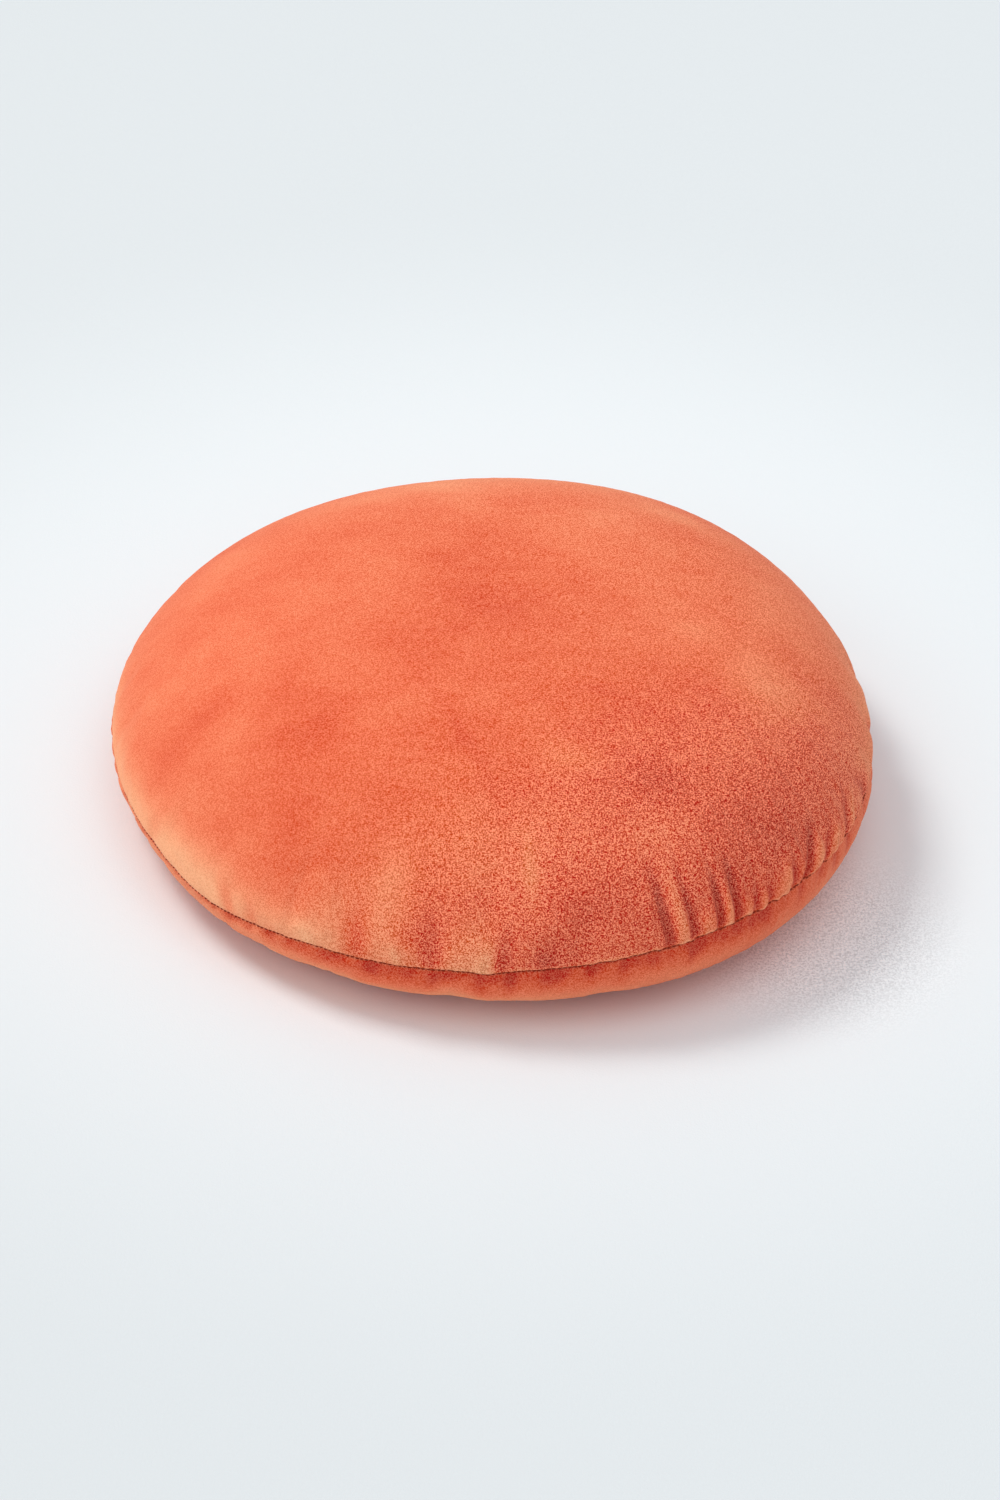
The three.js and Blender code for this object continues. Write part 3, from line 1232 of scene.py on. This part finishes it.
@dataclass
class Cover:
    """The velvet cover: both panels in one closed skin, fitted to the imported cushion's box."""

    low: Vector
    high: Vector
    shape: CoverShape = CoverShape()
    grid: DiscGrid = DiscGrid(rings=55)
    cloth: ClothFill = ClothFill()
    wrinkle_gain: float = 0.7
    wrinkle_cap: float = 1.6
    wrinkle_reach: float = 42.0
    wrinkle_rim: float = 0.03
    swell_reach: int = 7
    # Painted shade in the folds' valleys and painted highlights on their ridges, as shares of the fold depth.
    valley_painted_shade: float = 0.56
    ridge_painted_highlight: float = 0.30
    fold_full: float = 1.5
    front_grain: GrainSpread = GrainSpread()
    back_grain: float = 0.45
    seam_least: float = 0.32
    seam_gain: float = 0.42
    seam_at: float = 294.0
    seam_spread: float = 46.0
    seam_width: float = 0.6
    folds: dict[Side, list[Fold]] = field(default_factory=dict)
    scale: np.ndarray = field(default_factory=lambda: np.ones(3))
    offset: np.ndarray = field(default_factory=lambda: np.zeros(3))

    def __post_init__(self) -> None:
        """Gathers the folds of each panel from the tables."""
        far, puckers = FAR_FOLDS.folds(), SEAM_PUCKERS.folds()
        self.folds = {
            Side.FRONT: FRONT_FOLDS + FINE_RIDGES + far + puckers + CLOSE_PUCKERS.folds(),
            Side.BACK: BACK_FOLDS.folds() + puckers + UNDER_PUCKERS.folds(),
        }

    def panels(self, grid: DiscGrid) -> dict[Side, Panel]:
        """Works out both panels on a grid.

        Args:
            grid: The grid of both panels.

        Returns:
            The panels by side.
        """
        azimuth = grid.rings_and_azimuths()[1]
        made = {}
        for side in Side:
            run = grid.runs(self.shape.length(side))
            surface = self.shape.surface(side, azimuth, run, self.folds[side])
            made[side] = Panel(side, azimuth, run, *surface)
        return made

    def joined(self, grid: DiscGrid, values: dict[Side, np.ndarray]) -> tuple[np.ndarray, np.ndarray]:
        """Joins the panels' grids at the rim, where the back panel takes the front panel's points.

        Args:
            grid: The grid of both panels.
            values: The values on each panel's grid.

        Returns:
            The values as rows, and the quads over them.
        """
        rim = grid.rim().ravel()
        count = rim.size
        number = np.where(rim, np.arange(count), count + np.cumsum(~rim) - 1)
        faces = np.concatenate([grid.quads(Side.FRONT), number[grid.quads(Side.BACK)]])
        front, back = (values[side].reshape(count, -1) for side in Side)
        return np.concatenate([front, back[~rim]]), faces

    def wrinkles(self) -> dict[Side, np.ndarray]:
        """Simulates the cover and keeps only its wrinkles: the outward movement less its own soft average.

        Returns:
            The outward movement of each panel on the simulated grid, in millimetres.
        """
        panels = self.panels(self.grid)
        points, faces = self.joined(self.grid, {side: panel.points for side, panel in panels.items()})
        share = self.grid.rings_and_azimuths()[0]
        held = self.joined(self.grid, {side: self.cloth.hold(side, share) for side in Side})[0].ravel()
        moved = self.cloth.blow_up(points * MM, faces, held) / MM - points
        count = share.size
        rows = {Side.FRONT: moved[:count], Side.BACK: np.zeros((count, 3))}
        rows[Side.BACK][~self.grid.rim().ravel()] = moved[count:]
        made = {}
        for side, panel in panels.items():
            outward = (rows[side].reshape(panel.outward.shape) * panel.outward).sum(axis=-1)
            wrinkle = (outward - blurred(outward, self.swell_reach)) * self.wrinkle_gain
            fade = bell(panel.run, self.wrinkle_reach) * np.clip((1 - share) / self.wrinkle_rim, 0, 1)
            made[side] = self.wrinkle_cap * np.tanh(wrinkle / self.wrinkle_cap) * fade
            log.info("%s wrinkles: deepest %.2f mm", side.name.lower(), np.abs(wrinkle).max())
        return made

    def fitted(self, points: np.ndarray) -> np.ndarray:
        """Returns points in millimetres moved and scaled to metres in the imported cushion's box."""
        return points * self.scale + self.offset

    def build(self, simulate: bool) -> bpy.types.Object:
        """Makes the cover's mesh on the doubled grid and paints the attributes that its velvet reads.

        Args:
            simulate: Whether the cloth simulation adds its wrinkles.

        Returns:
            The cover.
        """
        fine = DiscGrid(rings=2 * self.grid.rings)
        panels = self.panels(fine)
        for side, wrinkle in (self.wrinkles() if simulate else {}).items():
            panels[side].points += doubled(wrinkle)[..., None] * panels[side].outward
        height = panels[Side.BACK].points[..., 2]
        height[height < 0] = 0
        rows, faces = self.joined(fine, {side: panel.points for side, panel in panels.items()})

        size = np.array(self.high - self.low)
        self.scale = size / (rows.max(axis=0) - rows.min(axis=0))
        self.offset = np.array(self.low) - rows.min(axis=0) * self.scale
        cover = mesh_object("cushion_cover", self.fitted(rows), faces)
        # The first attribute carries the pile's tone with painted highlights and painted shade.
        for name, paint in (("nap", self.nap), ("grain", self.grain), ("seam", self.seam_shade)):
            values = {side: paint(panel) for side, panel in panels.items()}
            paint_attribute(cover, name, self.joined(fine, values)[0])
        return cover

    def nap(self, panel: Panel) -> np.ndarray:
        """Adds the brushed patches and bands, with their painted highlights and painted shade, to a middle
        tone, less a share of the folds' depth, which paints shade into their valleys and highlights onto
        their ridges.

        Args:
            panel: Either panel.

        Returns:
            The tone, with its painted highlights and painted shade, 0 where it is deepest and 1 where it is
            palest.
        """
        # The folds' valleys get painted shade, and their ridges painted highlights.
        depth = np.tanh(panel.folded / self.fold_full)
        tone = 0.5 - np.where(depth > 0, self.valley_painted_shade, self.ridge_painted_highlight) * depth
        front = panel.side is Side.FRONT
        # The bands paint highlights and shade along the seam.
        for band in FRONT_NAP_AND_PAINTED_LIGHT_BANDS if front else BACK_PAINTED_SHADE_AND_BOUNCE_BANDS:
            tone += band.over(panel.azimuth, panel.run)
        # Some patches are painted shade and painted highlights.
        for patch in NAP_AND_PAINTED_LIGHT_PATCHES if front else []:
            tone += patch.over(panel.points[..., 0], panel.points[..., 1])
        return tone

    def grain(self, panel: Panel) -> np.ndarray:
        """Works out how strongly the grain shows, which is the same all over the back panel.

        Args:
            panel: Either panel.

        Returns:
            The strength at each point.
        """
        if panel.side is Side.BACK:
            return np.full_like(panel.run, self.back_grain)
        return self.front_grain.over(panel)

    def seam_shade(self, panel: Panel) -> np.ndarray:
        """Works out the seam's dark line, a dark joint with painted shade in its groove: a bell curve across
        it, highest at the front, where it opens.

        Args:
            panel: Either panel.

        Returns:
            The share of the seam's dark colour at each point.
        """
        most = bell(turn_between(self.seam_at, panel.azimuth), self.seam_spread)
        return (self.seam_least + self.seam_gain * most) * bell(panel.run, self.seam_width)


@dataclass
class SeamStitches:
    """The stitches that show in the closing seam, each a short bowed thread along the joint of the panels.

    Lengths are in millimetres. The slant is a rise for each millimetre along the seam, and each stitch is
    moved along it by up to the unevenness, in degrees.
    """

    cover: Cover
    pitch: float = 2.5
    length: float = 1.8
    thickness: float = 0.75
    thinnest: float = 0.02
    bow: float = 0.35
    proud: float = 0.1
    slant: float = 0.18
    unevenness: float = 0.08
    seed: int = 11
    sections: int = 6
    sides: int = 6

    def centres(self) -> tuple[np.ndarray, np.ndarray, np.ndarray, np.ndarray]:
        """Spaces the stitches evenly round the seam, each thrown a little off its place.

        Returns:
            Each stitch's middle, and the unit directions out of the seam, along the thread and across it.
        """
        shape = self.cover.shape
        count = int(2 * math.pi * shape.seam_radius / self.pitch)
        chance = np.random.default_rng(self.seed)
        azimuth = 360 * np.arange(count) / count + chance.uniform(-self.unevenness, self.unevenness, count)
        middle = shape.surface(Side.FRONT, azimuth, np.zeros(count), [])[0]
        cos, sin = np.cos(np.radians(azimuth)), np.sin(np.radians(azimuth))
        outward = np.stack([cos, sin, np.zeros(count)], axis=-1)
        along = np.stack([-sin, cos, np.full(count, self.slant)], axis=-1)
        along /= np.linalg.norm(along, axis=-1, keepdims=True)
        return middle, outward, along, np.cross(along, outward)

    def build(self) -> bpy.types.Object:
        """Lays a capsule in the seam at each stitch: a circle carried along a short arc, thin at its ends.

        With t from -1 to 1 along a stitch, the arc stands proud + bow * (1 - t ** 2) out of the seam, and
        the thread's radius is its thickness / 2 * sqrt(1 - t ** 4).

        Returns:
            The stitches, as one piece.
        """
        middle, outward, along, across = (values[:, None, None, :] for values in self.centres())
        t = np.linspace(-1, 1, self.sections)[None, :, None, None]
        turn = (2 * math.pi * np.arange(self.sides) / self.sides)[None, None, :, None]
        thick = self.thickness / 2 * np.sqrt(np.clip(1 - t**4, self.thinnest, 1))
        arc = middle + along * (t * self.length / 2) + outward * (self.proud + self.bow * (1 - t**2))
        points = arc + (outward * np.cos(turn) + across * np.sin(turn)) * thick

        first = np.arange(len(middle))[:, None, None] * self.sections * self.sides
        row = first + np.arange(self.sections - 1)[None, :, None] * self.sides
        here = row + np.arange(self.sides)
        beside = row + (np.arange(self.sides) + 1) % self.sides
        quads = np.stack([here, beside, beside + self.sides, here + self.sides], axis=-1)
        made = mesh_object("seam_stitches", self.cover.fitted(points.reshape(-1, 3)), quads.reshape(-1, 4))
        close_ends(made)
        return made


def close_ends(made: bpy.types.Object) -> None:
    """Fills the open ends of a mesh's tubes and points all its faces outwards.

    Args:
        made: The mesh object.
    """
    mesh = bmesh.new()
    mesh.from_mesh(made.data)
    bmesh.ops.holes_fill(mesh, edges=[edge for edge in mesh.edges if edge.is_boundary], sides=0)
    bmesh.ops.recalc_face_normals(mesh, faces=mesh.faces)
    mesh.to_mesh(made.data)
    mesh.free()


# Studio


@dataclass(frozen=True)
class Lamp:
    """A soft square lamp, facing a point near the cushion."""

    name: str
    place: Place
    size: float
    power: float
    colour: Colour

    def build(self, target: Vector) -> None:
        """Makes the lamp and turns it to its target.

        Args:
            target: The point that it faces, in metres.
        """
        data = bpy.data.lights.new(self.name, "AREA")
        data.shape = "SQUARE"
        data.size = self.size
        data.energy = self.power
        data.color = self.colour
        lamp = bpy.data.objects.new(self.name, data)
        lamp.location = self.place
        lamp.rotation_euler = (target - Vector(self.place)).to_track_quat("-Z", "Y").to_euler()
        bpy.context.scene.collection.objects.link(lamp)


@dataclass(frozen=True)
class Studio:
    """The pale floor, the sky's soft light and the lamps."""

    floor_half: float = 6.0
    sky: Colour = (0.93, 0.965, 1.0)
    sky_strength: float = 0.59
    lamps: tuple[Lamp, ...] = (
        Lamp("key_lamp", (-2.00, 1.02, 3.38), 1.35, 68.0, (1.0, 0.985, 0.96)),
        Lamp("side_lamp", (-2.50, -1.75, 1.90), 2.6, 15.0, (1.0, 0.99, 0.98)),
        Lamp("top_lamp", (0.70, -0.70, 3.30), 2.4, 14.0, (0.98, 0.99, 1.0)),
    )
    lamps_face: Place = (0.0, 0.0, 0.05)

    def build(self, grain: bpy.types.NodeTree) -> None:
        """Makes the floor, the lamps and the world.

        Args:
            grain: The pile grain group, for the floor's tooth.
        """
        half = self.floor_half
        corners = np.array([[-half, -half, 0], [half, -half, 0], [half, half, 0], [-half, half, 0]])
        floor = mesh_object("studio_floor", corners, np.array([[0, 1, 2, 3]]))
        floor.data.materials.append(FloorFinish().material(grain))
        for lamp in self.lamps:
            lamp.build(Vector(self.lamps_face))
        world = bpy.data.worlds.new("studio")
        world.use_nodes = True
        background = world.node_tree.nodes["Background"]
        background.inputs["Color"].default_value = (*self.sky, 1.0)
        background.inputs["Strength"].default_value = self.sky_strength
        bpy.context.scene.world = world
        bpy.context.scene.view_settings.view_transform = "Standard"


@dataclass(frozen=True)
class PhotoCamera:
    """The photograph's camera, worked out from the cushion's outline and seam in its 1000 x 1500 pixels."""

    frame_width: float = 1000.0
    frame_height: float = 1500.0
    sensor: float = 36.0
    elevation: float = 36.5
    roll: float = 1.8
    distance: float = 2.0
    focal_pixels: float = 3854.3
    target: Place = (0.0030, 0.0021, 0.06)
    target_pixel: tuple[float, float] = (497.1, 695.3)

    def build(self) -> None:
        """Places the camera round the target and turns it so that the target falls on its own pixel."""
        rise = math.radians(self.elevation)
        back = Vector((0.0, -math.cos(rise), math.sin(rise)))
        level = Vector((1.0, 0.0, 0.0))
        upright = back.cross(level)
        lean = math.radians(self.roll)
        right = level * math.cos(lean) + upright * math.sin(lean)
        up = upright * math.cos(lean) - level * math.sin(lean)
        place = Vector(self.target) + back * self.distance

        per_pixel = self.distance / self.focal_pixels
        aside = (self.frame_width / 2 - self.target_pixel[0]) * per_pixel
        below = (self.frame_height / 2 - self.target_pixel[1]) * per_pixel
        facing = (place - (Vector(self.target) + right * aside - up * below)).normalized()
        right = up.cross(facing).normalized()
        up = facing.cross(right)

        data = bpy.data.cameras.new("photo_camera")
        data.sensor_fit = "AUTO"
        data.sensor_width = self.sensor
        data.lens = self.focal_pixels * self.sensor / self.frame_height
        camera = bpy.data.objects.new("photo_camera", data)
        camera.matrix_world = Matrix.Translation(place) @ Matrix((right, up, facing)).transposed().to_4x4()
        bpy.context.scene.collection.objects.link(camera)
        bpy.context.scene.camera = camera


def main() -> None:
    """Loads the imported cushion, dresses it and sets up the studio, reporting each piece."""
    logging.basicConfig(level=logging.INFO, format="%(name)s: %(message)s")
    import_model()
    grain, drift = PileGrain().group(), NapDrift().group()

    cover = Cover(*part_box(NODE))
    velvet = cover.build(simulate=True)
    velvet.data.materials.append(VelvetFinish().material(grain, drift))
    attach(velvet, BODY)
    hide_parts(NODE)
    log.info("cover: %d quads", len(velvet.data.polygons))

    stitches = SeamStitches(cover).build()
    stitches.data.materials.append(ThreadFinish().material(grain))
    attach(stitches, BODY)
    log.info("seam stitches: %d faces", len(stitches.data.polygons))

    Studio().build(grain)
    PhotoCamera().build()


if __name__ == "__main__":
    main()
